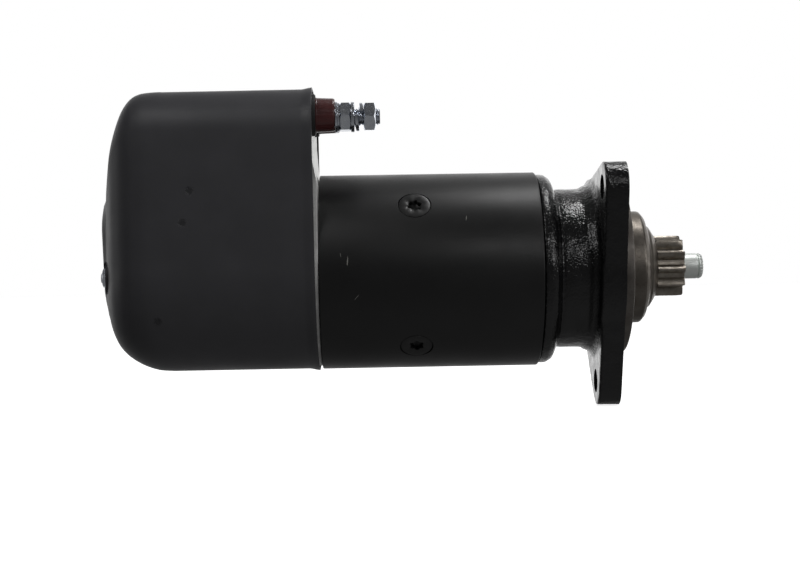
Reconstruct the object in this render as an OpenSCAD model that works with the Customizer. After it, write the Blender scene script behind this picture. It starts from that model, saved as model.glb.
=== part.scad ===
// Heavy-duty sliding-gear starter motor with a coaxial engaging solenoid.
// +X runs along the shaft towards the pinion and +Z is up. The origin is on the shaft axis, in the
// mounting face of the three-eared flange. All lengths are in millimetres.

/* [Pole housing] */
// Outer radius of the pole housing
barrel_r = 70; // [68:0.5:71]
// Wall thickness of the pole housing
barrel_wall = 8; // [7:0.5:8.5]
// Rear end of the pole housing
barrel_x0 = -211.6; // [-213:0.1:-211]
// Front end of the pole housing
barrel_x1 = -56.9; // [-58:0.1:-56]
// Station of the pole screws along the shaft
pole_x = -145; // [-150:1:-140]
// Angle of the first pole screw, from +Y towards +Z
pole_angle = 49.2; // [0:0.1:90]

/* [Flange] */
// Thickness of the flange ears
flange_t = 16; // [12:0.5:20]
// Radius of the circle that the flange holes lie on
hole_circle_r = 83; // [80:0.5:86]
// Radius of a flange hole
hole_r = 8.5; // [6:0.1:9]
// Radius of an ear's tip
ear_r = 17.3; // [15:0.1:19]
// Angle of the first ear, from +Y towards +Z
ear_angle = 18; // [0:1:120]
// Radius of the machined pilot spigot
spigot_r = 61.8; // [60:0.1:63]
// Height of the pilot spigot
spigot_h = 6; // [4:0.5:8]

/* [Pinion] */
// Number of pinion teeth
teeth = 11; // [9:1:13]
// Module of the teeth
gear_module = 3.175; // [3:0.005:3.25]
// Tip radius of the pinion
tip_r = 22.25; // [22:0.05:22.5]
// Root radius of the pinion
root_r = 16.5; // [16:0.1:17]
// Angle of one tooth tip, from +Y towards +Z
tooth_angle = 186.5; // [0:0.1:360]
// Rear face of the pinion
pinion_x0 = 29.9; // [29.8:0.1:31]
// Front face of the pinion
pinion_x1 = 49.7; // [48:0.1:51]

/* [Cover] */
// Half width of the rear cover
cover_w = 71; // [70.5:0.5:73]
// Height of the cover's top above the shaft axis
cover_top = 127.8; // [124:0.1:130]
// Radius of the cover's top corners
cover_corner = 30; // [26:0.5:34]
// Sheet thickness of the cover
cover_t = 1.6; // [1.2:0.1:2]
// How far the lip round the cover's mouth flares out
lip_out = 1.3; // [0.8:0.1:1.6]

/* [Terminals] */
// Sideways place of the battery terminal
battery_y = -35; // [-37:0.5:-33]
// Height of the battery terminal
battery_z = 108.8; // [106:0.1:110]
// Sideways place of the control terminal
control_y = 35; // [33:0.5:37]
// Height of the control terminal
control_z = 111.5; // [108:0.5:112]

/* [Travel] */
// Forward stroke of the pinion, which the solenoid's air gap allows
stroke = 20; // [18:0.5:20]
// Running clearance between a journal and its bearing
running = 0.04; // [0.02:0.01:0.08]

/* [Hidden] */
$fn = 96;
eps = 1;
bore_r = barrel_r - barrel_wall;
shield_x0 = -222;
shield_x1 = barrel_x0 - 0.05;
terminal_x = -216;
insulator_lift = 1.6;
cover_low_z = 1.3;
wall_x0 = -246;
wall_x1 = -240;
core_x0 = pole_x - 45;
core_x1 = pole_x + 45;
core_r = 46;
air_gap = 0.6;
slots = 25;
comm_x0 = -234;
comm_x1 = -206;
comm_r = 29;
shaft_r = 14;
journal_r = 12;
rod_r = 4.5;
rod_bore_r = 5.5;
spindle_r = 15;
spline_root_r = 13;
spline_count = 10;
spindle_x0 = -82;
hub_r = 20;
drum_x0 = -88;
drum_x1 = -60;
drum_r = 42;
plate_t = 1.6;
brush_w = 20;
brush_b = 9;
brush_x = -222;
brush_len = 17;
brush_slack = 0.15;
bolt_r = 3;
bolt_circle = 56.5;
solenoid_x0 = -330;
solenoid_x1 = -262;
solenoid_r = 42;
post_circle = 46;
plunger_r = 14;
relay_z = 96;
relay_r = 22;
cover_stud_y = 24;
cover_stud_z = -1.6;
pocket_x = -358;
pocket_r = 10.5;

// ---- placing helpers ----

module along_x(x0) {
    translate([x0, 0, 0]) rotate([0, 90, 0]) children();
}

module rod_x(x0, x1, r) {
    along_x(x0) cylinder(r = r, h = x1 - x0);
}

module cone_x(x0, x1, r0, r1) {
    along_x(x0) cylinder(r1 = r0, r2 = r1, h = x1 - x0);
}

module tube_x(x0, x1, r_out, r_in) {
    difference() {
        rod_x(x0, x1, r_out);
        rod_x(x0 - eps, x1 + eps, r_in);
    }
}

// A shape drawn in the Y-Z plane, drawn out along the shaft
module extrude_x(x0, x1) {
    translate([x0, 0, 0]) rotate([90, 0, 90]) linear_extrude(height = x1 - x0) children();
}

// Turns +Y towards +Z
module at_angle(a) {
    rotate([a, 0, 0]) children();
}

// Stands a shape on the shaft axis so that its own +Z points radially outwards
module radial(x, a) {
    at_angle(a) translate([x, 0, 0]) rotate([-90, 0, 0]) children();
}

// A wedge about +Y, for cutting sectors
module wedge(x0, x1, half) {
    reach = 90;
    extrude_x(x0, x1)
        polygon([[0, 0], [reach, -reach * tan(half)], [reach, reach * tan(half)]]);
}

module hex_x(x0, x1, across_flats, turn = 0) {
    translate([x0, 0, 0]) rotate([turn, 0, 0]) rotate([0, 90, 0])
        cylinder(r = across_flats / sqrt(3), h = x1 - x0, $fn = 6);
}

module annulus(r_out, r_in) {
    difference() {
        circle(r = r_out);
        circle(r = r_in);
    }
}

// ---- cover and end shield ----

// One thin slice of the cover's outline, drawn in by its own amount at top, side and bottom
module cover_slice(x, t, top, side, bottom, inset) {
    w = cover_w - side - inset;
    rc = max(cover_corner - top / 2 - inset, 8);
    extrude_x(x, x + t) {
        translate([0, bottom - side + cover_low_z]) circle(r = w, $fn = 64);
        for (s = [-1, 1])
            translate([s * (w - rc), cover_top - top - inset - rc]) circle(r = rc, $fn = 40);
    }
}

module cover_solid(inset) {
    front = inset > 0 ? -205 : -213;
    hull() {
        cover_slice(front, 0.5, 0, 0, 0, inset);
        cover_slice(-330 + inset, 0.5, 0.8, 0.6, 1, inset);
        cover_slice(-341 + inset, 0.5, 5, 4, 5, inset);
        cover_slice(-349 + inset, 0.5, 17.5, 10.5, 10, inset);
        cover_slice(-357 + inset, 0.5, 43, 24, 18, inset);
        cover_slice(-363.3 + inset, 0.5, 72, 44, 34, inset);
    }
}

// The raised boss in the middle of the cover's rear face
module cover_boss(inset) {
    boss_x0 = -368.3;
    boss_x1 = -362.8;
    boss_z = [-20, 43];
    foot_z = [-38, 71];
    hull() {
        for (k = [0, 1]) {
            translate([boss_x0 + inset, 0, boss_z[k] - (2 * k - 1) * 14])
                rotate([0, 90, 0]) cylinder(r = 14 - inset, h = 0.5, $fn = 40);
            translate([boss_x1 + inset, 0, foot_z[k] - (2 * k - 1) * 22])
                rotate([0, 90, 0]) cylinder(r = 22 - inset, h = 0.5 + inset, $fn = 40);
        }
    }
}

module at_cover_studs() {
    for (s = [-1, 1])
        translate([0, s * cover_stud_y, cover_stud_z]) children();
}

// The cover is one pressed sheet, with a round pocket pressed in for each fixing nut
module rear_cover() {
    lean = 0.34;
    edge_x = -214.15;
    color([0.13, 0.13, 0.14])
    difference() {
        union() {
            cover_solid(0);
            cover_boss(0);
            extrude_x(-218.5, -212.5) cover_outline(-lip_out);
        }
        difference() {
            union() {
                cover_solid(cover_t);
                cover_boss(cover_t);
            }
            at_cover_studs() rod_x(-372, pocket_x + cover_t, pocket_r + cover_t);
        }
        at_cover_studs() rod_x(-372, pocket_x, pocket_r);
        at_cover_studs() rod_x(-372, -350, 4.5);
        translate([edge_x, 0, 0]) rotate([0, -lean, 0])
            translate([0, -100, -120]) cube([30, 200, 300]);
    }
}

module cover_outline(inset) {
    w = cover_w - inset;
    rc = cover_corner - inset;
    flat_z = cover_top - inset - rc;
    translate([0, cover_low_z]) circle(r = w);
    translate([-w, cover_low_z]) square([2 * w, flat_z - cover_low_z]);
    translate([-w + rc, cover_low_z]) square([2 * (w - rc), cover_top - inset - cover_low_z]);
    for (s = [-1, 1])
        translate([s * (w - rc), flat_z]) circle(r = rc);
}

module cover_gasket() {
    color([0.06, 0.06, 0.06])
    difference() {
        extrude_x(-229, shield_x0 - 0.02) cover_outline(cover_t + 0.3);
        extrude_x(-230, -221) cover_outline(cover_t + 1.6);
    }
}

module cover_studs() {
    stud_r = 3.9;
    color([0.75, 0.76, 0.74])
    at_cover_studs() rod_x(-366.8, solenoid_x0, stud_r);
}

module cover_nuts() {
    washer_x1 = pocket_x - 0.05;
    nut_x1 = washer_x1 - 1.3;
    color([0.8, 0.82, 0.8])
    at_cover_studs() difference() {
        union() {
            hex_x(nut_x1 - 6.3, nut_x1, 13);
            rod_x(nut_x1, washer_x1, 8);
        }
        rod_x(-370, pocket_x + eps, 4);
    }
}

module end_shield() {
    bell_r = 66;
    bell_bore = 62;
    boss_r = 20;
    post_r = 5;
    seat_r = 16;
    face = [[-230, -90], [shield_x1, -90], [shield_x1, 60], [-214.5, 75], [terminal_x, 93.5],
            [terminal_x, 140], [-230, 140]];
    color([0.72, 0.73, 0.74])
    difference() {
        union() {
            intersection() {
                extrude_x(shield_x0, shield_x1) cover_outline(cover_t + 0.3);
                translate([0, 90, 0]) rotate([90, 0, 0]) linear_extrude(height = 180) polygon(face);
            }
            rod_x(wall_x0, shield_x0 + eps, bell_r);
            rod_x(-256, wall_x0 + eps, boss_r);
            for (k = [0:3])
                at_angle(45 + 90 * k) translate([0, post_circle, 0])
                    rod_x(-256, wall_x0 + eps, post_r);
        }
        rod_x(wall_x1, shield_x1 + eps, bell_bore);
        rod_x(-260, wall_x1 + eps, seat_r);
        for (k = [0:1])
            at_angle(pole_angle + 45 + 180 * k) translate([0, bolt_circle, 0])
                rod_x(-250, wall_x1 + eps, bolt_r + 0.2);
        for (k = [0:3])
            at_angle(45 + 90 * k) translate([0, post_circle, 0])
                rod_x(-258, wall_x1 - 2, 2.5);
        at_insulator() rod_x(-230, -210, 9);
        at_control() rod_x(-230, -210, 6.5);
    }
}

// ---- pole housing and field ----

module screw_shape(head_r, shank_r, top_r, foot_r) {
    head_t = 4.6;
    translate([0, 0, top_r - 1]) cylinder(r = head_r, h = 1);
    translate([0, 0, top_r - head_t]) cylinder(r1 = shank_r, r2 = head_r, h = head_t - 1);
    translate([0, 0, foot_r]) cylinder(r = shank_r, h = top_r - foot_r - head_t + 0.01);
}

module pole_housing() {
    color([0.1, 0.1, 0.1])
    difference() {
        tube_x(barrel_x0, barrel_x1, barrel_r, bore_r);
        for (k = [0:3])
            radial(pole_x, pole_angle + 90 * k) {
                screw_shape(11.4, 6.2, barrel_r - 0.7, bore_r - 4);
                translate([0, 0, barrel_r - 0.8]) cylinder(r = 11.4, h = 4);
            }
    }
}

module pole_shoes() {
    neck = 17.7;
    tip_r1 = 50;
    face_r = core_r + air_gap;
    color([0.35, 0.35, 0.37])
    for (k = [0:3])
        at_angle(pole_angle + 90 * k) difference() {
            union() {
                intersection() {
                    tube_x(core_x0 + 2, core_x1 - 2, bore_r, face_r);
                    translate([core_x0, 0, -neck]) cube([90, 80, 2 * neck]);
                }
                intersection() {
                    tube_x(core_x0, core_x1, tip_r1, face_r);
                    wedge(core_x0 - eps, core_x1 + eps, 34);
                }
            }
            translate([pole_x, 0, 0]) rotate([-90, 0, 0]) cylinder(r = 6, h = 80);
        }
}

module pole_screws() {
    lobes = 6;
    color([0.2, 0.2, 0.21])
    for (k = [0:3])
        radial(pole_x, pole_angle + 90 * k) difference() {
            screw_shape(11, 6, barrel_r - 0.7, 52);
            translate([0, 0, barrel_r - 4.2]) {
                cylinder(r = 3.9, h = 5);
                for (j = [0:lobes - 1])
                    rotate([0, 0, j * 360 / lobes]) translate([3.9, 0, 0])
                        cylinder(r = 1.1, h = 5);
            }
        }
}

module field_coils() {
    coil_r0 = 50.3;
    coil_r1 = 61.6;
    color([0.55, 0.3, 0.16])
    for (k = [0:3])
        at_angle(pole_angle + 90 * k) difference() {
            intersection() {
                tube_x(core_x0 - 10, core_x1 + 10, coil_r1, coil_r0);
                wedge(core_x0 - 12, core_x1 + 12, 36);
            }
            translate([core_x0 + 1.5, 0, -18]) cube([87, 80, 36]);
        }
}

module through_bolts() {
    color([0.6, 0.61, 0.6])
    for (k = [0:1])
        at_angle(pole_angle + 45 + 180 * k) translate([0, bolt_circle, 0]) {
            rod_x(wall_x0, -46, bolt_r);
            hex_x(wall_x0 - 4, wall_x0, 10);
        }
}

// ---- drive end ----

module ear(a) {
    body_r = 62.5;
    lean = acos((body_r - ear_r) / hole_circle_r);
    steps = 16;
    at_angle(a) extrude_x(-flange_t, 0)
        polygon(concat(
            [[body_r * cos(lean), body_r * sin(lean)]],
            [for (i = [0:steps])
                let (turn = lean * (1 - 2 * i / steps))
                [hole_circle_r + ear_r * cos(turn), ear_r * sin(turn)]],
            [[body_r * cos(lean), -body_r * sin(lean)]]
        ));
}

module drive_end_bracket() {
    neck_r = 57.5;
    color([0.09, 0.09, 0.09])
    difference() {
        union() {
            rotate([0, 90, 0]) rotate_extrude()
                polygon([
                    [0, -56.85], [68.3, -56.85], [68.3, -50.4], [67.4, -48.8], [64.8, -46.6],
                    [61.6, -45], [57.5, -43.8], [neck_r, -21], [58.8, -18.2], [62, -16.4], [64, -16],
                    [64, 0], [spigot_r, 0], [spigot_r, spigot_h - 0.6],
                    [spigot_r - 0.6, spigot_h], [0, spigot_h]
                ]);
            for (k = [0:2]) ear(ear_angle + 120 * k);
        }
        rod_x(-60, -46, 38);
        rod_x(-46.5, -42, 30);
        rod_x(-42.5, -12, 48);
        rod_x(-13, 0, 19);
        rod_x(-1, 8, 34);
        for (k = [0:2])
            at_angle(ear_angle + 120 * k) translate([0, hole_circle_r, 0])
                rod_x(-flange_t - eps, eps, hole_r);
        for (k = [0:1])
            at_angle(pole_angle + 45 + 180 * k) translate([0, bolt_circle, 0])
                rod_x(-58, -46, bolt_r);
    }
}

module nose_ring() {
    color([0.42, 0.38, 0.33])
    difference() {
        rotate([0, 90, 0]) rotate_extrude()
            polygon([
                [0, 0], [34, 0], [34, spigot_h], [40.5, spigot_h], [40.5, 17.6], [39.6, 18.5],
                [38.4, 19], [37.7, 20.7], [32, 22.4], [30.6, 23.3], [29.2, 24.2], [28.7, 25.9],
                [26.4, 27], [25, 28.1], [22.5, 29.6], [0, 29.6]
            ]);
        rod_x(-1, 22, 19);
        rod_x(21, 30, spindle_r + 0.6);
    }
}

module spindle_bearing() {
    color([0.62, 0.62, 0.62])
    tube_x(-12, 14, 19, spindle_r + running);
}

module shaft_seal() {
    color([0.05, 0.05, 0.05])
    tube_x(14.4, 21.8, 18.95, spindle_r + 0.06);
}

module drum_bearing() {
    color([0.62, 0.62, 0.62])
    tube_x(-57, -46.1, 38, 26.5 + running);
}

module rear_bearing() {
    color([0.6, 0.5, 0.3])
    tube_x(-255.5, -240.2, 16, journal_r + running);
}

// ---- battery and control terminals ----

module at_battery() {
    translate([0, battery_y, battery_z]) children();
}

// The insulator sits a little high on its stud, because the hole through it is off centre
module at_insulator() {
    translate([0, battery_y, battery_z + insulator_lift]) children();
}

module at_control() {
    translate([0, control_y, control_z]) children();
}

module terminal_seal() {
    seal_x1 = -212.82;
    color([0.04, 0.04, 0.04])
    difference() {
        union() {
            at_insulator() rod_x(terminal_x + 0.02, seal_x1, 14.8);
            at_control() rod_x(terminal_x + 0.02, seal_x1, 10);
        }
        at_insulator() rod_x(-220, -210, 8.9);
        at_control() rod_x(-220, -210, 6.4);
    }
}

module battery_insulator() {
    color([0.2, 0.07, 0.05])
    difference() {
        at_insulator() {
            rod_x(-226, -212.5, 8.8);
            cone_x(-212.8, -200.6, 12.3, 11.6);
            cone_x(-200.6, -199.2, 11.6, 10.4);
        }
        at_battery() rod_x(-230, -195, 6);
    }
}

module battery_stud() {
    color([0.78, 0.8, 0.78])
    at_battery() {
        rod_x(-240, -170.6, 5.95);
        rod_x(-170.6, -168.2, 5.5);
        cone_x(-168.2, -167.7, 5.5, 5);
    }
}

module battery_inner_nut() {
    color([0.8, 0.82, 0.8])
    at_battery() difference() {
        hex_x(-195.95, -188.2, 19, -2);
        rod_x(-200, -180, 6);
    }
}

module battery_washers() {
    color([0.8, 0.82, 0.8])
    at_battery() {
        tube_x(-199.15, -197.4, 10.9, 6.1);
        tube_x(-197.35, -196, 10.2, 6.1);
        tube_x(-188.15, -185.6, 10.7, 6.1);
    }
}

module battery_spring_washer() {
    split = 1.2;
    wire = 2.5;
    color([0.7, 0.72, 0.7])
    at_battery() difference() {
        tube_x(-185.55, -179.2, 10, 6.3);
        at_angle(170) translate([-190, 0, -split / 2]) cube([12, 12, split]);
        tube_x(-185.55 + wire, -179.2 - wire, 11, 8.3);
    }
}

module battery_outer_nut() {
    color([0.8, 0.82, 0.8])
    at_battery() difference() {
        hex_x(-179.15, -170.8, 19, 3);
        rod_x(-190, -165, 6);
    }
}

module control_insulator() {
    color([0.2, 0.07, 0.05])
    at_control() difference() {
        union() {
            rod_x(-226, -212.5, 6.3);
            cone_x(-212.8, -197.7, 7.8, 7.2);
        }
        rod_x(-230, -195, 3);
    }
}

module control_stud() {
    color([0.78, 0.8, 0.78])
    at_control() {
        rod_x(-240, -186.4, 2.95);
        rod_x(-186.4, -182.2, 2.5);
    }
}

module control_nuts() {
    color([0.8, 0.82, 0.8])
    at_control() {
        difference() {
            union() {
                rod_x(-197.6, -196.2, 6);
                hex_x(-196.2, -191.6, 10);
            }
            rod_x(-200, -190, 3);
        }
        difference() {
            hex_x(-191.5, -186.6, 10, 12);
            rod_x(-200, -180, 3);
        }
    }
}

// A flat copper strip between two points of the Y-Z plane, with round ends
module strip(x0, x1, p, q, r) {
    span = norm(q - p);
    turn = atan2(q[1] - p[1], q[0] - p[0]);
    extrude_x(x0, x1) {
        translate(p) circle(r = r);
        translate(q) circle(r = r);
        translate(p) rotate(turn) translate([0, -r]) square([span, 2 * r]);
    }
}

module battery_bar() {
    color([0.72, 0.42, 0.25])
    strip(-243, -240.05, [battery_y, battery_z], [-11, relay_z], 6);
}

module field_bar() {
    color([0.72, 0.42, 0.25])
    strip(-243, -240.05, [11, 75], [11, relay_z], 5);
}

// ---- brush gear ----

module brush_plate() {
    color([0.35, 0.22, 0.14])
    difference() {
        tube_x(-239.5, -236.2, 60.5, 31.5);
        for (k = [0:1])
            at_angle(pole_angle + 45 + 180 * k) translate([0, bolt_circle, 0])
                rod_x(-241, -235, bolt_r + 0.2);
    }
}

module brush_boxes() {
    wall = 1.3;
    box_w = brush_w + 2 * (brush_slack + wall);
    box_b = brush_b + 2 * (brush_slack + wall);
    color([0.75, 0.6, 0.3])
    for (k = [0:3])
        radial(brush_x, pole_angle + 90 * k) difference() {
            translate([-box_w / 2, -box_b / 2, 32.5]) cube([box_w, box_b, 25]);
            translate([-brush_w / 2 - brush_slack, -brush_b / 2 - brush_slack, 30])
                cube([brush_w + 2 * brush_slack, brush_b + 2 * brush_slack, 26]);
        }
}

module brush(k) {
    color([0.16, 0.15, 0.15])
    radial(brush_x, pole_angle + 90 * k) difference() {
        translate([-brush_w / 2, -brush_b / 2, comm_r - 0.5])
            cube([brush_w, brush_b, brush_len + 0.5]);
        translate([-brush_w, 0, 0]) rotate([0, 90, 0])
            cylinder(r = comm_r + running, h = 2 * brush_w);
    }
}

module brush_1() { brush(0); }
module brush_2() { brush(1); }
module brush_3() { brush(2); }
module brush_4() { brush(3); }

module brush_springs() {
    color([0.6, 0.6, 0.6])
    for (k = [0:3])
        radial(brush_x, pole_angle + 90 * k)
            translate([0, 0, comm_r + brush_len + 0.05]) linear_extrude(height = 9.8)
                annulus(3.6, 2.4);
}

// ---- engaging solenoid ----

module solenoid_housing() {
    color([0.5, 0.5, 0.52])
    difference() {
        rod_x(solenoid_x0, solenoid_x1, solenoid_r);
        rod_x(solenoid_x0 + 4, solenoid_x1 + eps, solenoid_r - 3);
    }
}

module solenoid_bobbin() {
    tube_r = 17;
    color([0.82, 0.78, 0.66])
    difference() {
        union() {
            rod_x(solenoid_x0 + 4.1, solenoid_x1 - 0.1, tube_r);
            rod_x(solenoid_x0 + 4.1, solenoid_x0 + 6, 38.5);
            rod_x(solenoid_x1 - 2, solenoid_x1 - 0.1, 38.5);
        }
        rod_x(solenoid_x0 - 1, solenoid_x1 + 1, plunger_r + 0.4);
    }
}

module solenoid_coil() {
    color([0.7, 0.38, 0.2])
    tube_x(solenoid_x0 + 6.2, solenoid_x1 - 2.2, 37.5, 17.1);
}

module solenoid_end_plate() {
    plate_r = 51;
    color([0.5, 0.5, 0.52])
    difference() {
        rod_x(solenoid_x1, -256.1, plate_r);
        rod_x(solenoid_x1 - 1, -255, rod_r + 0.3);
        for (k = [0:3])
            at_angle(45 + 90 * k) translate([0, post_circle, 0])
                rod_x(solenoid_x1 - 1, -255, 2.7);
    }
}

module solenoid_screws() {
    color([0.7, 0.71, 0.7])
    for (k = [0:3])
        at_angle(45 + 90 * k) translate([0, post_circle, 0]) {
            rod_x(solenoid_x1 - 0.02, wall_x1 - 3, 2.5);
            hex_x(solenoid_x1 - 3.6, solenoid_x1 - 0.02, 8);
        }
}

module solenoid_plunger() {
    back_x = solenoid_x0 + 5;
    front_x = solenoid_x1 - stroke - 1;
    color([0.6, 0.6, 0.62])
    difference() {
        rod_x(back_x, front_x, plunger_r);
        rod_x(front_x - 24, front_x + 1, 10.5);
        rod_x(back_x + 2, front_x, rod_r);
    }
}

module engaging_rod() {
    rod_x0 = solenoid_x0 + 7;
    collar_x = spindle_x0 + 2;
    color([0.66, 0.66, 0.68]) {
        rod_x(rod_x0, collar_x + 7, rod_r);
        rod_x(collar_x, collar_x + 7, 8.5);
    }
}

module return_spring() {
    wire_r = 1.2;
    turns = 9;
    spring_x0 = solenoid_x1 - stroke - 25 + wire_r;
    pitch = (solenoid_x1 - wire_r - 0.1 - spring_x0) / (turns - 1);
    color([0.55, 0.56, 0.56])
    for (k = [0:turns - 1])
        along_x(spring_x0 + k * pitch) rotate_extrude() translate([8, 0]) circle(r = wire_r, $fn = 24);
}

// ---- control relay ----

module at_relay() {
    translate([0, 0, relay_z]) children();
}

module relay_body() {
    color([0.5, 0.5, 0.52])
    at_relay() difference() {
        rod_x(-322, -277, relay_r);
        rod_x(-319, -281, relay_r - 2);
        rod_x(-282, -270, 3);
    }
}

module relay_coil() {
    color([0.7, 0.38, 0.2])
    at_relay() tube_x(-318.8, -281.2, relay_r - 2.3, 9);
}

module relay_cap() {
    color([0.08, 0.08, 0.08])
    at_relay() difference() {
        rod_x(-276.9, -246, relay_r);
        rod_x(-276, -249, relay_r - 2);
        for (s = [-1, 1]) translate([0, s * 11, 0]) rod_x(-250, -244, 4);
        rod_x(-280, -275, 3);
    }
}

module relay_contacts() {
    color([0.75, 0.45, 0.28])
    at_relay()
    for (s = [-1, 1]) translate([0, s * 11, 0]) {
        rod_x(-253, -243.05, 4);
        rod_x(-255, -253, 6.5);
    }
}

module relay_plunger() {
    color([0.6, 0.6, 0.62])
    at_relay() {
        rod_x(-317, -286, 8.6);
        rod_x(-286, -257, 2.6);
        translate([-260.2, -18, -5.5]) cube([2, 36, 11]);
    }
}

module relay_spring() {
    wire_r = 0.6;
    turns = 6;
    pitch = (15.2 - 2 * wire_r) / (turns - 1);
    color([0.55, 0.56, 0.56])
    at_relay()
    for (k = [0:turns - 1])
        along_x(-275.7 + wire_r + k * pitch) rotate_extrude() translate([4.6, 0])
            circle(r = wire_r, $fn = 24);
}

// ---- armature and clutch ----

module armature_shaft() {
    color([0.6, 0.6, 0.62])
    difference() {
        union() {
            rod_x(-255.8, -238, journal_r);
            rod_x(-238, drum_x0, shaft_r);
        }
        rod_x(-257, drum_x0 + 1, rod_bore_r);
    }
}

module armature_core() {
    slot_w = 3.4;
    slot_d = 12;
    color([0.4, 0.4, 0.42])
    extrude_x(core_x0, core_x1) difference() {
        annulus(core_r, shaft_r);
        for (k = [0:slots - 1])
            rotate(k * 360 / slots) translate([core_r - slot_d, -slot_w / 2])
                square([slot_d + 1, slot_w]);
    }
}

module armature_windings() {
    bar_w = 3;
    color([0.72, 0.42, 0.25]) {
        extrude_x(core_x0 - 13, core_x1 + 9)
            for (k = [0:slots - 1])
                rotate(k * 360 / slots) translate([core_r - 11.4, -bar_w / 2])
                    square([10.6, bar_w]);
        tube_x(core_x0 - 13, core_x0 - 0.2, 44, 33);
        tube_x(core_x1 + 0.2, core_x1 + 9, 44, 33);
    }
}

module commutator() {
    segments = 25;
    gap_w = 0.8;
    color([0.78, 0.48, 0.3])
    extrude_x(comm_x0, comm_x1) difference() {
        annulus(comm_r, shaft_r);
        for (k = [0:segments - 1])
            rotate(k * 360 / segments) translate([comm_r - 1, -gap_w / 2]) square([2, gap_w]);
    }
}

module clutch_drum() {
    color([0.5, 0.5, 0.52])
    difference() {
        union() {
            rod_x(drum_x0, drum_x1, drum_r);
            rod_x(drum_x1 - eps, -46.3, 26.5);
        }
        rod_x(drum_x0 + 4, drum_x1 - 3, 38);
        rod_x(drum_x0 - 1, drum_x1 - 3, 9);
        rod_x(drum_x1 - 4, -45, hub_r + 0.3);
    }
}

module clutch_outer_plates() {
    color([0.45, 0.45, 0.47])
    for (k = [0:4])
        tube_x(-83.8 + 4 * k, -83.8 + 4 * k + plate_t, 37.9, 26);
}

module clutch_inner_plates() {
    color([0.55, 0.4, 0.25])
    for (k = [0:3])
        tube_x(-81.8 + 4 * k, -81.8 + 4 * k + plate_t, 35, hub_r + 3.2);
}

module spline_outline(r_out, r_root, tooth_w) {
    circle(r = r_root);
    intersection() {
        circle(r = r_out);
        for (k = [0:spline_count - 1])
            rotate(k * 360 / spline_count) translate([0, -tooth_w / 2])
                square([r_out + 1, tooth_w]);
    }
}

module clutch_hub() {
    color([0.58, 0.58, 0.6])
    difference() {
        union() {
            rod_x(-83.5, -47, hub_r);
            rod_x(-83.5, -64, hub_r + 3.1);
        }
        extrude_x(-85, -45) spline_outline(spindle_r + 0.12, spline_root_r + 0.12, 4.2);
    }
}

module drive_spindle() {
    color([0.62, 0.6, 0.57])
    difference() {
        union() {
            extrude_x(spindle_x0, -25) spline_outline(spindle_r, spline_root_r, 4);
            rod_x(-25, pinion_x0 - 0.05, spindle_r);
            rod_x(-20, pinion_x1, 10.5);
            rod_x(pinion_x1 - 1, 62, 6);
        }
        rod_x(spindle_x0 - 1, spindle_x0 + 9.4, 8.9);
        rod_x(spindle_x0, spindle_x0 + 30, rod_r + 0.3);
    }
}

// ---- pinion ----

pitch_r = gear_module * teeth / 2;
pressure = 20;
base_r = pitch_r * cos(pressure);
shift_x = 0.5;
half_tooth = (90 + 360 * shift_x * tan(pressure) / PI) / teeth;

// Involute function in degrees of the polar angle at radius r
function involute(r) = r <= base_r ? 0 : sqrt(r * r / base_r / base_r - 1) * 180 / PI - acos(base_r / r);
function flank_angle(r) = half_tooth + involute(pitch_r) - involute(r);

module pinion_outline() {
    steps = 6;
    radii = [for (i = [0:steps]) max(base_r, root_r) + i * (tip_r - root_r) / steps];
    rise = [for (r = radii) [r * cos(flank_angle(r)), -r * sin(flank_angle(r))]];
    fall = [for (i = [steps:-1:0]) [rise[i][0], -rise[i][1]]];
    circle(r = root_r);
    intersection() {
        circle(r = tip_r);
        for (k = [0:teeth - 1])
            rotate(tooth_angle + k * 360 / teeth)
                polygon(concat([[root_r - 3, -3]], rise, fall, [[root_r - 3, 3]]));
    }
}

module pinion() {
    color([0.55, 0.52, 0.47])
    difference() {
        extrude_x(pinion_x0, pinion_x1) pinion_outline();
        rod_x(pinion_x0 - 1, pinion_x1 + 1, 10.5);
    }
}

module pinion_nut() {
    color([0.72, 0.75, 0.73])
    difference() {
        rotate([0, 90, 0]) rotate_extrude()
            polygon([
                [0, pinion_x1 + 0.02], [9.2, pinion_x1 + 0.02], [9.2, 61], [8.4, 61.2], [8.4, 61.9],
                [9.2, 62.1], [9, 63.6], [8, 65.3], [0, 65.3]
            ]);
        rod_x(40, 62, 6);
        rod_x(61, 66, 5);
    }
}

// ---- drawing ----

rear_cover();
cover_gasket();
cover_studs();
cover_nuts();
end_shield();
pole_housing();
pole_shoes();
pole_screws();
field_coils();
through_bolts();
drive_end_bracket();
nose_ring();
spindle_bearing();
drum_bearing();
rear_bearing();
shaft_seal();
terminal_seal();
battery_insulator();
battery_stud();
battery_inner_nut();
battery_washers();
battery_spring_washer();
battery_outer_nut();
control_insulator();
control_stud();
control_nuts();
battery_bar();
field_bar();
brush_plate();
brush_boxes();
solenoid_housing();
solenoid_bobbin();
solenoid_coil();
solenoid_end_plate();
solenoid_screws();
relay_body();
relay_coil();
relay_cap();
relay_contacts();
armature_shaft();
armature_core();
armature_windings();
commutator();
clutch_drum();
clutch_outer_plates();
clutch_hub();
clutch_inner_plates();
solenoid_plunger();
engaging_rod();
return_spring();
drive_spindle();
pinion();
pinion_nut();
relay_plunger();
relay_spring();
brush_1();
brush_2();
brush_3();
brush_4();
brush_springs();
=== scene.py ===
"""A heavy-duty sliding-gear starter motor, dressed around its CAD frame.

+X runs along the shaft towards the pinion, +Z is up, and the origin lies on the shaft axis in the
plane of the flange's mounting face. Lengths in the helpers are millimetres, scaled by MM to metres.
"""

import math

import bmesh
import bpy
from mathutils import Matrix, Vector, noise


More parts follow.
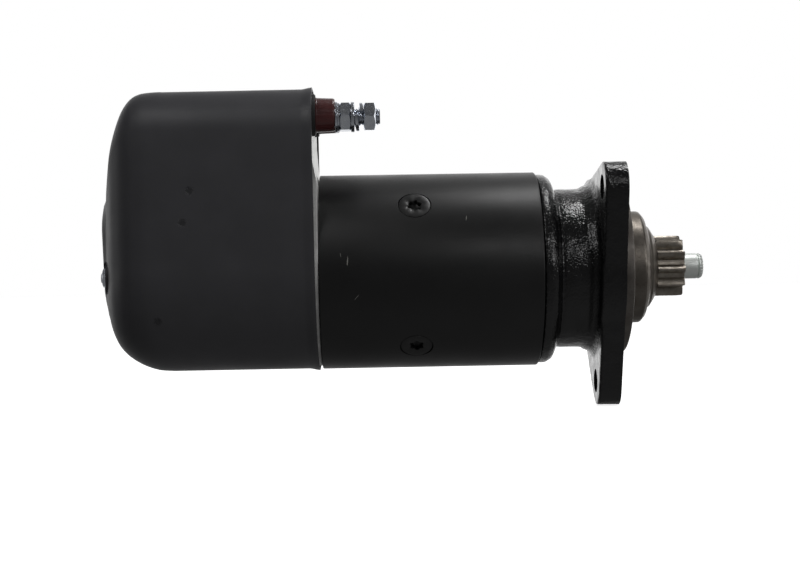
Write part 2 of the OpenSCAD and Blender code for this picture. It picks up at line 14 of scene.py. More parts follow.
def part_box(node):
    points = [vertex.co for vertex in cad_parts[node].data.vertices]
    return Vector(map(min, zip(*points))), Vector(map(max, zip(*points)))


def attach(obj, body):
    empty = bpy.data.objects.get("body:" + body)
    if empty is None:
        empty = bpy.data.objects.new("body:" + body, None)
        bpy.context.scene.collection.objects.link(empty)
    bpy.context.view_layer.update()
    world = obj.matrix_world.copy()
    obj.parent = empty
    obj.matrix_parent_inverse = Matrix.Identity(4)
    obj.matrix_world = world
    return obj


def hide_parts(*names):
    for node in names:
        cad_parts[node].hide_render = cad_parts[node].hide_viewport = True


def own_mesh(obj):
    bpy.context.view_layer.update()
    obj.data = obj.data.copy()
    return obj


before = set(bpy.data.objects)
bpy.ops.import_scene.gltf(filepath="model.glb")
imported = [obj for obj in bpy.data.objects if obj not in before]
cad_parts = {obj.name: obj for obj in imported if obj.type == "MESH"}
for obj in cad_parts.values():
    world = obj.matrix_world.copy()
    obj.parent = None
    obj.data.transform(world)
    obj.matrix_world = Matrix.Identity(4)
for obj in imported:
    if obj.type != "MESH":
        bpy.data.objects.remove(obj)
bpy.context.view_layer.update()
MM = 0.001
AXIS = (0.0, 0.0)


# ---------------------------------------------------------------- places, from the CAD


def node_box(node):
    """The node's box in millimetres: (low, high)."""
    low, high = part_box(node)
    return [c / MM for c in low], [c / MM for c in high]


def centre_yz(node):
    """The centre of the node's box across the shaft, in millimetres."""
    low, high = node_box(node)
    return (low[1] + high[1]) / 2, (low[2] + high[2]) / 2


BARREL_LOW, BARREL_HIGH = node_box("pole_housing")
BARREL_X0, BARREL_X1, BARREL_R = BARREL_LOW[0], BARREL_HIGH[0], BARREL_HIGH[2]
BARREL_WALL = 8.0
COVER_X0 = node_box("rear_cover")[0][0]
SCREW_LOW, SCREW_HIGH = node_box("pole_screws")
POLE_X = (SCREW_LOW[0] + SCREW_HIGH[0]) / 2
# The rest are the CAD's own measures, in millimetres and degrees
POLE_ANGLE = 49.2
EAR_ANGLE = 18.0
EAR_CIRCLE = 83.0
EAR_RADIUS = 17.3
FLANGE_T = 16.0
BOLT_HOLE = 8.5
SPIGOT_R = 61.8
SPIGOT_H = 6.0


# ---------------------------------------------------------------- mesh helpers


def add_object(name, data):
    obj = bpy.data.objects.new(name, data)
    bpy.context.scene.collection.objects.link(obj)
    return obj


def finish_piece(name, mesh, material, nodes, sharp=35, body="housing"):
    """Puts a mesh on its CAD body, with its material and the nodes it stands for."""
    mesh.shade_smooth()
    mesh.set_sharp_from_angle(angle=math.radians(sharp))
    piece = add_object(name, mesh)
    if not any(mesh.materials):
        mesh.materials.clear()
        mesh.materials.append(material)
    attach(piece, body)
    if nodes:
        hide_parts(*nodes)
    return piece


def bm_to_mesh(bm, name):
    """Closes a bmesh off: welded, with its normals outwards, in metres."""
    bmesh.ops.remove_doubles(bm, verts=bm.verts, dist=1e-4)
    bmesh.ops.dissolve_degenerate(bm, edges=bm.edges, dist=1e-5)
    bmesh.ops.recalc_face_normals(bm, faces=bm.faces)
    bmesh.ops.scale(bm, vec=(MM, MM, MM), verts=bm.verts)
    mesh = bpy.data.meshes.new(name)
    bm.to_mesh(mesh)
    bm.free()
    return mesh


def around(x, r, angle, centre=AXIS):
    """A point at radius r and an angle from +Y towards +Z."""
    return Vector((x, centre[0] + r * math.cos(angle), centre[1] + r * math.sin(angle)))


def rounded(points, steps=5):
    """An outline of (x, r, fillet) corners with each corner rounded by its fillet."""
    out = []
    count = len(points)
    for i, (x, r, fillet) in enumerate(points):
        here = Vector((x, r))
        if not fillet:
            out.append((x, r))
            continue
        before = Vector(points[i - 1][:2]) - here
        after = Vector(points[(i + 1) % count][:2]) - here
        half = before.angle(after) / 2
        reach = min(fillet / math.tan(half), before.length * 0.49, after.length * 0.49)
        start, end = here + before.normalized() * reach, here + after.normalized() * reach
        for k in range(steps + 1):
            t = k / steps
            p = start * (1 - t) ** 2 + here * 2 * t * (1 - t) + end * t**2
            out.append((p.x, p.y))
    return out


def band(bm, a, b):
    """The faces between two closed rings of vertices."""
    for i in range(len(a)):
        j = (i + 1) % len(a)
        bm.faces.new((a[i], a[j], b[j], b[i]))


def lathe(bm, outline, segments=128, centre=AXIS, radius=None):
    """Turns a closed (x, r) outline about an axis along X. radius(x, r, angle) may vary it."""
    rings = []
    for k in range(segments):
        angle = math.tau * k / segments
        radii = [radius(x, r, angle) if radius else r for x, r in outline]
        rings.append([bm.verts.new(around(x, r, angle, centre)) for (x, _), r in zip(outline, radii)])
    for k in range(segments):
        band(bm, rings[k], rings[(k + 1) % segments])


def loft(bm, rings, cap_start=True, cap_end=True):
    """Skins a list of closed rings of points."""
    rows = [[bm.verts.new(p) for p in ring] for ring in rings]
    for a, b in zip(rows, rows[1:]):
        band(bm, a, b)
    if cap_start:
        bm.faces.new(rows[0][::-1])
    if cap_end:
        bm.faces.new(rows[-1])
    return rows


def lathe_mesh(name, corners, segments=128, centre=AXIS, steps=5, radius=None):
    bm = bmesh.new()
    lathe(bm, rounded(corners, steps), segments, centre, radius)
    return bm_to_mesh(bm, name)


def bake(obj):
    """The working object's mesh with its modifiers applied. The object is removed."""
    graph = bpy.context.evaluated_depsgraph_get()
    mesh = bpy.data.meshes.new_from_object(obj.evaluated_get(graph))
    bpy.data.objects.remove(obj)
    return mesh


def combine(mesh, tools, operation):
    """Adds or cuts closed meshes."""
    for tool in tools:
        obj, other = add_object("scratch", mesh), add_object("tool", tool)
        mod = obj.modifiers.new("cut", "BOOLEAN")
        mod.operation = operation
        mod.solver = "MANIFOLD"
        mod.object = other
        mesh = bake(obj)
        bpy.data.objects.remove(other)
    return mesh


def loft_mesh(name, rings):
    bm = bmesh.new()
    loft(bm, rings)
    return bm_to_mesh(bm, name)


def rod_mesh(x0, x1, r, centre=AXIS, segments=64):
    turns = [math.tau * k / segments for k in range(segments)]
    return loft_mesh("rod", [[around(x, r, a, centre) for a in turns] for x in (x0, x1)])


def sweep(bm, path, r, sides):
    """A round wire along a path of points."""
    rings = []
    turns = [math.tau * k / sides for k in range(sides)]
    for i, p in enumerate(path):
        ahead = path[min(i + 1, len(path) - 1)] - path[max(i - 1, 0)]
        ahead.normalize()
        if i == 0:
            side = ahead.orthogonal().normalized()
        side = (side - ahead * side.dot(ahead)).normalized()
        up = ahead.cross(side)
        rings.append([p + side * r * math.cos(a) + up * r * math.sin(a) for a in turns])
    loft(bm, rings)


# ---------------------------------------------------------------- materials


def new_node(tree, kind, **settings):
    node = tree.nodes.new(kind)
    for key, value in settings.items():
        setattr(node, key, value)
    return node


def ranged(tree, value, *limits):
    """Maps a value from one range to another: from low, from high, to low, to high."""
    node = new_node(tree, "ShaderNodeMapRange")
    for socket, limit in zip(("From Min", "From Max", "To Min", "To Max"), limits):
        node.inputs[socket].default_value = limit
    tree.links.new(value, node.inputs["Value"])
    return node.outputs["Result"]


class Finish:
    """A small node builder: one Principled surface with layered procedural detail."""

    def __init__(self, name, color, rough, metallic=0.0, **sockets):
        self.material = bpy.data.materials.new(name)
        self.material.use_nodes = True
        self.tree = self.material.node_tree
        self.surface = self.tree.nodes["Principled BSDF"]
        self.coords = self.tree.nodes.new("ShaderNodeTexCoord").outputs["Object"]
        self.surface.inputs["Metallic"].default_value = metallic
        for key, value in sockets.items():
            self.surface.inputs[key.replace("_", " ")].default_value = value
        self.color = self.node("ShaderNodeRGB").outputs[0]
        self.color.default_value = (*color, 1)
        self.rough = self.node("ShaderNodeValue").outputs[0]
        self.rough.default_value = rough
        self.normal = None

    def node(self, kind, **settings):
        return new_node(self.tree, kind, **settings)

    def link(self, a, b):
        self.tree.links.new(a, b)

    def stretched(self, scale):
        mapping = self.node("ShaderNodeMapping")
        mapping.inputs["Scale"].default_value = scale
        self.link(self.coords, mapping.inputs["Vector"])
        return mapping.outputs["Vector"]

    def noise(self, size_mm, detail=3.0, stretch=(1, 1, 1), rough=0.5):
        """Noise with features about size_mm across."""
        tex = self.node("ShaderNodeTexNoise")
        tex.inputs["Scale"].default_value = 1 / (size_mm * MM)
        tex.inputs["Detail"].default_value = detail
        tex.inputs["Roughness"].default_value = rough
        self.link(self.stretched(stretch), tex.inputs["Vector"])
        return tex.outputs["Fac"]

    def cells(self, size_mm):
        """The distance to scattered points about size_mm apart."""
        tex = self.node("ShaderNodeTexVoronoi")
        tex.inputs["Scale"].default_value = 1 / (size_mm * MM)
        self.link(self.coords, tex.inputs["Vector"])
        return tex.outputs["Distance"]

    def remap(self, value, low, high, to_low=0.0, to_high=1.0):
        return ranged(self.tree, value, low, high, to_low, to_high)

    def math(self, operation, a, b=0.0):
        node = self.node("ShaderNodeMath", operation=operation)
        for socket, value in zip(node.inputs, (a, b)):
            if isinstance(value, (int, float)):
                socket.default_value = value
            else:
                self.link(value, socket)
        return node.outputs[0]

    def streak(self, x, z, slant, length, width):
        """A ragged soft-edged mark on the side that faces -Y, centred on (x, z) in millimetres."""
        turned = self.node("ShaderNodeMapping", vector_type="TEXTURE")
        turned.inputs["Location"].default_value = (x * MM, 0, z * MM)
        turned.inputs["Rotation"].default_value = (0, math.radians(slant), 0)
        self.link(self.coords, turned.inputs["Vector"])
        parts, place = self.node("ShaderNodeSeparateXYZ"), self.node("ShaderNodeSeparateXYZ")
        self.link(turned.outputs["Vector"], parts.inputs[0])
        self.link(self.coords, place.inputs[0])
        ragged = self.remap(self.noise(1.1, 3), 0.3, 0.7, -0.25, 0.25)
        across = self.math("DIVIDE", self.math("ABSOLUTE", parts.outputs["X"]), width * MM / 2)
        along = self.math("DIVIDE", self.math("ABSOLUTE", parts.outputs["Z"]), length * MM / 2)
        squares = self.math("ADD", self.math("POWER", across, 2.0), self.math("POWER", along, 2.0))
        far = self.math("ADD", self.math("SQRT", squares), ragged)
        mark = self.remap(far, 1.0, 0.55)
        near_side = self.remap(place.outputs["Y"], 0.0, -0.01)
        return self.math("MULTIPLY", mark, near_side)

    def tint(self, color, mask):
        """Mixes another colour in where mask is 1."""
        mix = self.node("ShaderNodeMix", data_type="RGBA")
        self.link(mask, mix.inputs["Factor"])
        self.link(self.color, mix.inputs["A"])
        mix.inputs["B"].default_value = (*color, 1)
        self.color = mix.outputs["Result"]
        return self

    def roughen(self, mask, amount):
        self.rough = self.math("ADD", self.rough, self.math("MULTIPLY", mask, amount))
        return self

    def bump(self, height, depth_mm):
        node = self.node("ShaderNodeBump")
        node.inputs["Distance"].default_value = depth_mm * MM
        node.inputs["Strength"].default_value = 1.0
        self.link(height, node.inputs["Height"])
        if self.normal:
            self.link(self.normal, node.inputs["Normal"])
        self.normal = node.outputs["Normal"]
        return self

    def done(self):
        self.link(self.color, self.surface.inputs["Base Color"])
        self.link(self.rough, self.surface.inputs["Roughness"])
        if self.normal:
            self.link(self.normal, self.surface.inputs["Normal"])
        return self.material


def painted(name, color, rough, peel_mm, peel_depth, scratches=(), dents=()):
    """Paint over steel: a faint orange peel, uneven gloss, a little dust, any scratches, and any dents, each
    with its paint darkened as painted shade.
    """
    f = Finish(name, color, rough)
    f.bump(f.noise(peel_mm, 2), peel_depth)
    f.bump(f.noise(0.35, 2), peel_depth * 0.25)
    f.roughen(f.remap(f.noise(35, 4), 0.35, 0.7), 0.08)
    f.roughen(f.remap(f.noise(1.2, 2), 0.4, 0.7), 0.05)
    f.tint([c * 1.7 + 0.004 for c in color], f.remap(f.noise(28, 5), 0.42, 0.75, 0, 0.2))
    f.tint((0.32, 0.31, 0.3), f.remap(f.cells(4.5), 0.045, 0.02, 0, 0.2))
    for (x, z), slant, length, width in scratches:
        f.tint((0.36, 0.35, 0.33), f.streak(x, z, slant, length, width))
    for (x, z), r in dents:
        dent_and_shade = f.streak(x, z, 0, r * 2, r * 2)
        # The dent's paint is darkened to 0.55 of its colour: painted shade in the hollow, on top of the real
        # dent in the bump below
        f.tint([c * 0.55 for c in color], dent_and_shade)
        f.bump(dent_and_shade, -0.35)
    return f.done()


def plated(name, color, rough, tone):
    """Bright zinc: slightly blue, cloudy, with fine turning marks."""
    f = Finish(name, color, rough, 1.0)
    f.tint(tone, f.remap(f.noise(3.5, 4), 0.4, 0.7, 0, 0.6))
    f.roughen(f.remap(f.noise(1.2, 4), 0.35, 0.7), 0.18)
    f.bump(f.noise(0.5, 3, (0.25, 1, 1)), 0.006)
    f.bump(f.noise(2.0, 3), 0.012)
    return f.done()


def machined(name, color, rough, dark, marks_mm=0.25, depth=0.012, blotch=12):
    """Turned or ground steel: rings about the axis, stains and a little tarnish."""
    f = Finish(name, color, rough, 1.0)
    rings = f.noise(marks_mm, 2, (1, 0.02, 0.02))
    f.tint(dark, f.remap(f.noise(blotch, 6), 0.38, 0.68, 0, 0.75))
    f.tint([c * 0.55 for c in dark], f.remap(f.noise(1.4, 5), 0.58, 0.75, 0, 0.5))
    f.roughen(f.remap(f.noise(5, 5), 0.35, 0.7), 0.16)
    f.bump(rings, depth)
    f.bump(f.noise(0.6, 3), depth * 1.2)
    return f.done()


def moulded(name, color, rough, speck=None, **sockets):
    """Moulded plastic or rubber: a fine satin grain, slight flow marks and specks."""
    f = Finish(name, color, rough, **sockets)
    f.tint([c * 1.5 + 0.003 for c in color], f.remap(f.noise(6, 4, (0.3, 1, 1)), 0.4, 0.7, 0, 0.5))
    if speck:
        f.tint(speck, f.remap(f.noise(0.7, 3), 0.66, 0.74, 0, 0.7))
    f.roughen(f.remap(f.noise(2.5, 3), 0.35, 0.7), 0.12)
    f.bump(f.noise(0.4, 3), 0.03)
    f.bump(f.noise(4, 2), 0.06)
    return f.done()


def cast(name, color, rough, metallic, depth, grain_mm=1.3, **sockets):
    """A sand- or die-cast skin: coarse grain under whatever covers it."""
    f = Finish(name, color, rough, metallic, **sockets)
    f.bump(f.noise(grain_mm, 1.5, rough=0.4), depth)
    f.bump(f.noise(grain_mm * 4, 3), depth * 1.2)
    f.tint([c * 1.6 + 0.004 for c in color], f.remap(f.noise(9, 5), 0.45, 0.7, 0, 0.5))
    f.tint([c * 0.4 for c in color], f.remap(f.noise(grain_mm * 1.5, 4), 0.6, 0.75, 0, 0.4))
    f.roughen(f.remap(f.noise(7, 4), 0.35, 0.7), 0.12)
    return f.done()


# Places on the barrel where the paint is scratched through: (x, z), slant, length and width in millimetres
SCRATCHES = [((-191.8, 7.2), 4, 7.0, 0.9), ((-109.8, 35.6), 8, 4.2, 0.5), ((-186.0, -17.5), 40, 6.0, 0.35),
             ((-196.5, 11.5), -6, 3.0, 0.35)]
# Shallow dents in the cover, each darkened with painted shade: (x, z) and radius in millimetres
DENTS = [((-298.0, 56.5), 3.2), ((-303.5, 35.0), 3.0), ((-322.5, -32.0), 3.2)]

COVER_BLACK = painted("cover_black", (0.056, 0.056, 0.062), 0.44, 1.1, 0.02, dents=DENTS)
BARREL_BLACK = painted("barrel_black", (0.0085, 0.0085, 0.0088), 0.36, 1.6, 0.012, scratches=SCRATCHES)
CAST_BLACK = cast("cast_black", (0.0045, 0.0045, 0.005), 0.15, 0.0, 0.33, 1.45, Specular_IOR_Level=0.62)
# The ears' rear faces: the same black casting in a lighter colour, a painted light on those faces
CAST_BACK_PAINTED_LIGHT = cast("cast_back_painted_light", (0.03, 0.03, 0.03), 0.16, 0.0, 0.05, 1.4)
SCREW_BLACK = painted("screw_black", (0.010, 0.010, 0.010), 0.32, 0.8, 0.02)
NOSE_STEEL = machined("nose_steel", (0.195, 0.176, 0.155), 0.36, (0.135, 0.118, 0.100))
SPIGOT_STEEL = machined("spigot_steel", (0.20, 0.185, 0.17), 0.4, (0.12, 0.105, 0.095), 0.4, 0.02)
PINION_STEEL = machined("pinion_steel", (0.37, 0.335, 0.29), 0.33, (0.20, 0.175, 0.148), 0.5, 0.01, 5)
SHAFT_STEEL = machined("shaft_steel", (0.42, 0.41, 0.39), 0.25, (0.30, 0.29, 0.27))
BEARING_STEEL = machined("bearing_steel", (0.55, 0.55, 0.55), 0.2, (0.4, 0.4, 0.4))
SOFT_IRON = machined("soft_iron", (0.16, 0.16, 0.17), 0.42, (0.10, 0.10, 0.11))
LAMINATION = machined("lamination", (0.24, 0.24, 0.25), 0.4, (0.13, 0.12, 0.12), 0.5, 0.1)
SPRING_STEEL = machined("spring_steel", (0.28, 0.29, 0.29), 0.3, (0.16, 0.16, 0.16))
BRONZE = machined("bronze", (0.46, 0.32, 0.15), 0.35, (0.30, 0.20, 0.09))
BRASS = machined("brass", (0.60, 0.45, 0.19), 0.3, (0.42, 0.30, 0.12))
COPPER = machined("copper", (0.62, 0.29, 0.16), 0.3, (0.38, 0.16, 0.09))
FRICTION = machined("friction_lining", (0.24, 0.16, 0.10), 0.55, (0.15, 0.10, 0.07))
ZINC = plated("zinc", (0.72, 0.75, 0.80), 0.13, (0.55, 0.59, 0.68))
ZINC_DULL = plated("zinc_dull", (0.92, 0.95, 0.92), 0.45, (0.84, 0.89, 0.86))
ALUMINIUM = cast("raw_aluminium", (0.62, 0.62, 0.61), 0.5, 0.85, 0.08, 0.9)
PHENOLIC = moulded("phenolic", (0.075, 0.013, 0.013), 0.34, (0.13, 0.03, 0.025), Coat_Weight=0.25)
BOARD = moulded("laminated_board", (0.14, 0.06, 0.035), 0.45, (0.20, 0.10, 0.06))
NYLON = moulded("glass_nylon", (0.52, 0.48, 0.37), 0.5)
RUBBER = moulded("black_rubber", (0.012, 0.012, 0.012), 0.6)
BLACK_PLASTIC = moulded("black_plastic", (0.015, 0.015, 0.015), 0.4)
CARBON = moulded("brush_carbon", (0.035, 0.032, 0.032), 0.5, (0.20, 0.11, 0.07))


def taped():
    """Varnished cotton tape wound over the field coils."""
    f = Finish("coil_tape", (0.17, 0.075, 0.030), 0.42, Coat_Weight=0.5)
    wave = f.node("ShaderNodeTexWave", bands_direction="X")
    wave.inputs["Scale"].default_value = 60
    f.link(f.coords, wave.inputs["Vector"])
    f.tint((0.09, 0.035, 0.015), f.remap(wave.outputs["Fac"], 0.1, 0.0, 0, 0.8))
    f.bump(wave.outputs["Fac"], 0.3)
    f.bump(f.noise(0.6, 2), 0.08)
    return f.done()


COIL_TAPE = taped()


# ---------------------------------------------------------------- rear cover

# The section: its top, its half width, the centre of its round bottom and the radius of its top corners
COVER_TOP = 127.8
COVER_W = 71.0
COVER_LOW_Z = 1.3
COVER_CORNER = 30.0
# The open edge leans a little and flares into a lip
EDGE_LEAN = math.tan(math.radians(0.34))
EDGE_X = -214.15
LIP = 1.25
LIP_LENGTH = 8.0
# Stations of the cover's rear rounding: x, and how far the top, sides and bottom have drawn in
COVER_STATIONS = [
    (-319, 0.3, 0, 0.0), (-328, 0.7, 0.4, 0.7), (-335, 1.7, 1.8, 2.5), (-341, 4.9, 4.0, 5.0),
    (-346.5, 11.8, 8.0, 8.2), (-351, 22.0, 13.5, 11.6), (-355, 35.0, 20.0, 15.8), (-358, 49.5, 27.5, 20.5),
    (-361, 65.0, 37.0, 27.5), (-363, 78.0, 46.0, 36.0),
]
# The rear boss: its top's x, the lowest and highest centre of its round outline, and its radius
BOSS_TOP = (-368.25, -6.0, 29.0, 14.0)
FACE_X = -363.2
POCKET_X = -358.0
POCKET_R = 10.5
COVER_WASHER_R = 8.0
SHEET = 1.6


def cover_ring(x, top, side, bottom, grow=0.0, lean=False):
    """The cover's outline at x, drawn in by its top, side and bottom, or grown for the lip."""
    w = COVER_W - side + grow
    low_z = COVER_LOW_Z + bottom - side
    corner = max(COVER_CORNER - top / 2, 8) + grow
    high_z = COVER_TOP - top + grow
    points = []
    for k in range(65):
        a = math.pi + math.pi * k / 64
        points.append((w * math.cos(a), low_z + w * math.sin(a)))
    side_top = high_z - corner
    for k in range(1, 10):
        points.append((w, low_z + (side_top - low_z) * k / 10))
    for k in range(17):
        a = math.pi / 2 * k / 16
        points.append((w - corner + corner * math.cos(a), side_top + corner * math.sin(a)))
    for k in range(1, 12):
        points.append((w - corner - 2 * (w - corner) * k / 12, high_z))
    for k in range(17):
        a = math.pi / 2 + math.pi / 2 * k / 16
        points.append((-w + corner + corner * math.cos(a), side_top + corner * math.sin(a)))
    for k in range(1, 10):
        points.append((-w, side_top + (low_z - side_top) * k / 10))
    return [Vector((x - (EDGE_LEAN * z if lean else 0), y, z)) for y, z in points]


def spline(stations, steps):
    """Catmull-Rom values through the stations."""
    out = []
    last = len(stations) - 1
    for i in range(last):
        p = [stations[max(0, min(last, i + k))] for k in (-1, 0, 1, 2)]
        for s in range(steps):
            t = s / steps
            row = []
            for a, b, c, d in zip(*p):
                row.append(0.5 * (2 * b + (c - a) * t + (2 * a - 5 * b + 4 * c - d) * t**2
                                  + (3 * b - a - 3 * c + d) * t**3))
            out.append(row)
    out.append(list(stations[-1]))
    return out


def smoothstep(t):
    t = max(0.0, min(1.0, t))
    return t * t * (3 - 2 * t)


def boss_height(y, z):
    """How far the rear boss stands out at a point of the rear face."""
    top_x, low_z, high_z, r = BOSS_TOP
    dz = z - max(low_z, min(high_z, z))
    d = math.hypot(y, dz)
    # The boss is 1.9 mm lower at its foot than at its top, 63 mm above
    height = FACE_X - top_x - 1.9 * (high_z + r - z) / 63
    if d <= r:
        return height
    side_ramp, end_ramp = 12.0, 28.0 if dz > 0 else 19.0
    ramp = side_ramp + (end_ramp - side_ramp) * abs(dz) / d
    return max(0.0, height) * smoothstep(1 - (d - r) / ramp)


def build_cover():
    bm = bmesh.new()
    rings = []
    lip_steps, side_steps, face_steps = 8, 12, 22
    start, end = EDGE_X - LIP_LENGTH, COVER_STATIONS[0][0]
    for k in range(lip_steps + 1):
        t = k / lip_steps
        rings.append(cover_ring(EDGE_X - LIP_LENGTH * t, 0, 0, 0, LIP * (1 - smoothstep(t)), True))
    for k in range(1, side_steps + 1):
        t = k / side_steps
        ring = cover_ring(start + (end - start) * t, 0.5 * t, 0, 0)
        rings.append([Vector((p.x - EDGE_LEAN * p.z * (1 - t), p.y, p.z)) for p in ring])
    for x, top, side, bottom in spline(COVER_STATIONS, 4)[1:]:
        rings.append(cover_ring(x, top, side, bottom))
    last = rings[-1]
    middle = Vector((0, 0, sum(p.z for p in last) / len(last)))
    for k in range(1, face_steps):
        s = 1 - k / face_steps
        x = FACE_X + 0.3 * s * s
        rings.append([Vector((x, p.y * s, middle.z + (p.z - middle.z) * s)) for p in last])
    for ring in rings[-24:]:
        for p in ring:
            p.x -= boss_height(p.y, p.z)
    rows = loft(bm, rings, False, False)
    hub = bm.verts.new(Vector((FACE_X - boss_height(0, middle.z), 0, middle.z)))
    tail = rows[-1]
    for a, b in zip(tail, tail[1:] + tail[:1]):
        bm.faces.new((a, b, hub))
    for v in bm.verts:
        v.co.x = max(v.co.x, COVER_X0 + 0.02)
    mesh = bm_to_mesh(bm, "cover_shell")
    obj = add_object("scratch", mesh)
    wall = obj.modifiers.new("wall", "SOLIDIFY")
    wall.thickness = SHEET * MM
    wall.offset = -1
    mesh = bake(obj)
    # A round pocket is pressed in for each of the two nuts
    low, high = node_box("cover_nuts")
    z = (low[2] + high[2]) / 2
    cups, cuts = [], []
    for y in (low[1] + COVER_WASHER_R, high[1] - COVER_WASHER_R):
        cups.append(lathe_mesh("cup", [
            (POCKET_X + SHEET, 0, 0), (POCKET_X + SHEET, POCKET_R + SHEET - 0.4, 2.5),
            (FACE_X + 1.0, POCKET_R + SHEET + 0.6, 0), (FACE_X + 1.0, 0, 0),
        ], 64, (y, z), 6))
        cuts.append(lathe_mesh("pocket", [
            (POCKET_X, 0, 0), (POCKET_X, POCKET_R - 0.6, 1.8), (FACE_X + 0.8, POCKET_R, 1.0),
            (FACE_X - 1.0, POCKET_R + 1.6, 0), (FACE_X - 8.0, POCKET_R + 2.6, 0), (FACE_X - 8.0, 0, 0),
        ], 64, (y, z), 6))
        cuts.append(rod_mesh(-380, -350, 4.5, (y, z), 32))
    mesh = combine(mesh, cups, "UNION")
    mesh = combine(mesh, cuts, "DIFFERENCE")
    finish_piece("cover_shell", mesh, COVER_BLACK, ["rear_cover"], 50)


# ---------------------------------------------------------------- end shield


def build_end_shield():
    low, high = node_box("end_shield")
    front, back = high[0], -222.0
    inset = 1.9
    steps = [(back, inset), (front - 1.0, inset), (front - 0.3, inset + 0.3), (front, inset + 1.0)]
    plate = loft_mesh("shield_plate", [cover_ring(x, 0, 0, 0, -shrink) for x, shrink in steps])
    # The front face steps back round the terminals
    face = [(front + 9, 60), (front, 60), (-214.5, 75), (-214.9, 79), (-215.8, 92.5), (-216, 94), (-216, 140),
            (front + 9, 140)]
    step = loft_mesh("face_step", [[Vector((x, y, z)) for x, z in face] for y in (90, -90)])
    bell = lathe_mesh("bell", [(-246, 0, 0), (-246, 66, 3), (-221, 66, 0), (-221, 0, 0)], 96)
    boss = rod_mesh(-256, -245, 20)
    places = [tuple(around(0, 46, math.radians(45 + 90 * k))[1:]) for k in range(4)]
    posts = [rod_mesh(-256, -245, 5, place, 32) for place in places]
    mesh = combine(plate, [bell, boss, *posts], "UNION")
    cuts = [
        step, rod_mesh(-240, front + 5, 62, AXIS, 128), rod_mesh(-262, -235, 16),
        rod_mesh(-230, -205, 9, centre_yz("battery_insulator")),
        rod_mesh(-230, -205, 6.5, centre_yz("control_stud")),
    ]
    mesh = combine(mesh, cuts, "DIFFERENCE")
    finish_piece("end_shield_casting", mesh, ALUMINIUM, ["end_shield"])


# ---------------------------------------------------------------- pole housing and screws


def radial_frame(x, angle):
    """Local +Z points outwards from the shaft at the angle, local X runs along the shaft."""
    turn = Matrix.Rotation(math.radians(angle), 4, "X")
    return turn @ Matrix.Translation((x, 0, 0)) @ Matrix.Rotation(math.radians(-90), 4, "X")


def turned_about_z(bm, outline, place, segments=64):
    """Turns a closed (z, r) outline about Z and puts it in place."""
    rings = []
    for k in range(segments):
        a = math.tau * k / segments
        c, s = math.cos(a), math.sin(a)
        rings.append([bm.verts.new(place @ Vector((r * c, r * s, z))) for z, r in outline])
    for k in range(segments):
        band(bm, rings[k], rings[(k + 1) % segments])


def build_barrel():
    r, bore = BARREL_R, BARREL_R - BARREL_WALL
    front = BARREL_X1 - 0.1
    mesh = lathe_mesh("barrel", [
        (BARREL_X0, bore, 0.4), (BARREL_X0, r, 0.8), (front, r, 1.0), (front, bore, 0.4),
    ], 256)
    cuts = []
    for k in range(4):
        bm = bmesh.new()
        seat = rounded([
            (bore - 4, 0, 0), (bore - 4, 6.2, 0), (r - 5.0, 6.2, 0.3), (r - 1.2, 11.35, 0.2),
            (r - 0.5, 11.45, 0.2), (r + 0.6, 11.9, 0), (r + 0.6, 0, 0),
        ], 3)
        turned_about_z(bm, seat, radial_frame(POLE_X, POLE_ANGLE + 90 * k))
        cuts.append(bm_to_mesh(bm, "seat"))
    mesh = combine(mesh, cuts, "DIFFERENCE")
    finish_piece("barrel_tube", mesh, BARREL_BLACK, ["pole_housing"], 30)


def build_pole_screws():
    """Countersunk heads, each with a six-lobed recess."""
    top = BARREL_R - 0.72
    count = 72
    lobes = 6
    star = [4.45 + 0.62 * math.cos(lobes * math.tau * i / count) for i in range(count)]
    # Height, and a radius or a list of radii, from the shank's foot up, over the rim and down the recess
    stations = [
        (52.0, 6.0), (top - 4.3, 6.0), (top - 1.1, 10.7), (top - 0.5, 11.0), (top - 0.12, 10.9), (top, 10.5),
        (top, [r + 0.9 for r in star]), (top - 0.15, [r + 0.35 for r in star]), (top - 0.5, star),
        (top - 3.4, [r * 0.97 for r in star]), (top - 4.0, 2.0),
    ]
    bm = bmesh.new()
    for k in range(4):
        place = radial_frame(POLE_X, POLE_ANGLE + 90 * k)
        turn = math.radians(12 * k + 8)
        rings = []
        for z, radii in stations:
            ring = []
            for i, r in enumerate(radii if isinstance(radii, list) else [radii] * count):
                a = math.tau * i / count + turn
                ring.append(place @ Vector((r * math.cos(a), r * math.sin(a), z)))
            rings.append(ring)
        loft(bm, rings)
    mesh = bm_to_mesh(bm, "pole_screw_heads")
    finish_piece("pole_screw_heads", mesh, SCREW_BLACK, ["pole_screws"], 30)


# ---------------------------------------------------------------- drive-end bracket


def ear_outline(angle):
    """The tapered outline of one ear, with its round tip, in the Y-Z plane."""
    body_r = 62.5
    lean = math.acos((body_r - EAR_RADIUS) / EAR_CIRCLE)
    root_y, root_z = body_r * math.cos(lean), body_r * math.sin(lean)
    points = [(root_y * 0.3, root_z), (root_y, root_z)]
    for k in range(25):
        a = lean * (1 - k / 12)
        points.append((EAR_CIRCLE + EAR_RADIUS * math.cos(a), EAR_RADIUS * math.sin(a)))
    points += [(root_y, -root_z), (root_y * 0.3, -root_z)]
    c, s = math.cos(math.radians(angle)), math.sin(math.radians(angle))
    return [(y * c - z * s, y * s + z * c) for y, z in points]


